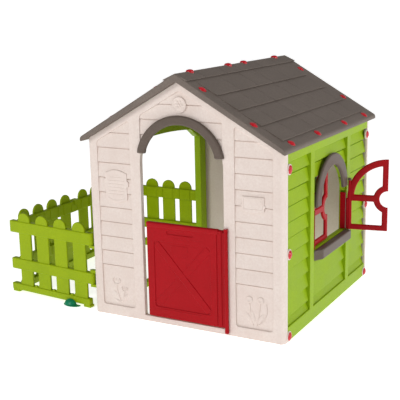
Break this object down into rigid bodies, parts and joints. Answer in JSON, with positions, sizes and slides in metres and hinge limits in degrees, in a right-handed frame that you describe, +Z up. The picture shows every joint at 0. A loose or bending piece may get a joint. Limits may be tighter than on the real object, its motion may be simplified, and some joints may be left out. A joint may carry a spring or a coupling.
{
  "type": "playhouse",
  "caption": "Child's moulded plastic cottage with a gabled roof, an arched doorway with a half door, an arched window with two leaves, and a picket fence yard.",
  "frame": {"origin": "on the ground under the middle of the doorway, in the middle plane of the front wall", "axes": "+X to the right as one faces the door from outside, +Y from the door to the back of the house, +Z up"},
  "size_m": [1.7855, 1.208, 1.176],
  "materials": {
    "cream_plastic": "satin moulded polyethylene",
    "green_plastic": "satin moulded polyethylene",
    "fence_plastic": "satin moulded polyethylene",
    "roof_plastic": "matt moulded polyethylene",
    "hood_plastic": "satin moulded polypropylene",
    "red_plastic": "semi-gloss moulded polypropylene",
    "cap_plastic": "glossy moulded polypropylene",
    "teal_plastic": "semi-gloss moulded polyethylene",
    "zinc_steel": "zinc plated steel"
  },
  "bodies": {
    "house": {"front_wall": "cream_plastic", "back_wall": "cream_plastic", "left_wall": "green_plastic", "right_wall": "green_plastic", "roof_left": "roof_plastic", "roof_right": "roof_plastic", "wall_caps": "cap_plastic", "wall_screws": "zinc_steel", "roof_caps_left": "cap_plastic", "roof_caps_right": "cap_plastic", "roof_screws": "zinc_steel", "ridge_caps": "cap_plastic", "ridge_ties": "roof_plastic", "door_hood": "hood_plastic", "window_hood": "hood_plastic", "window_sill": "hood_plastic", "door_hinge_pins": "zinc_steel", "door_hinge_lugs": "red_plastic", "window_pins_front": "zinc_steel", "window_pins_back": "zinc_steel", "window_lug_front": "green_plastic", "window_lug_back": "hood_plastic", "window_jamb_strips": "red_plastic", "gate_hinge_pins": "zinc_steel", "gate_hinge_brackets": "fence_plastic", "fence_side_front": "fence_plastic", "fence_side_back": "fence_plastic", "fence_rear": "fence_plastic", "fence_joint_clips": "fence_plastic", "fence_corner_clips": "fence_plastic", "fence_wall_brackets": "green_plastic", "fence_bracket_screws": "zinc_steel"},
    "half_door": {"door_leaf": "red_plastic"},
    "front_leaf": {"window_leaf_front": "red_plastic"},
    "back_leaf": {"window_leaf_back": "red_plastic"},
    "gate": {"fence_gate": "fence_plastic", "gate_foot": "teal_plastic"}
  },
  "joints": [
    {"name": "door_hinge", "type": "hinge", "parent": "house", "child": "half_door", "pos_m": [0.226, -0.022, 0], "axis": [0, 0, 1], "range_deg": [0, 110]},
    {"name": "front_leaf_hinge", "type": "hinge", "parent": "house", "child": "front_leaf", "pos_m": [0.476, 0.35, 0], "axis": [0, 0, 1], "range_deg": [0, 90]},
    {"name": "back_leaf_hinge", "type": "hinge", "parent": "house", "child": "back_leaf", "pos_m": [0.52, 0.762, 0], "axis": [0, 0, 1], "range_deg": [-99, 40]},
    {"name": "gate_hinge", "type": "hinge", "parent": "house", "child": "gate", "pos_m": [-0.533, 0.024, 0], "axis": [0, 0, 1], "range_deg": [0, 105]}
  ]
}
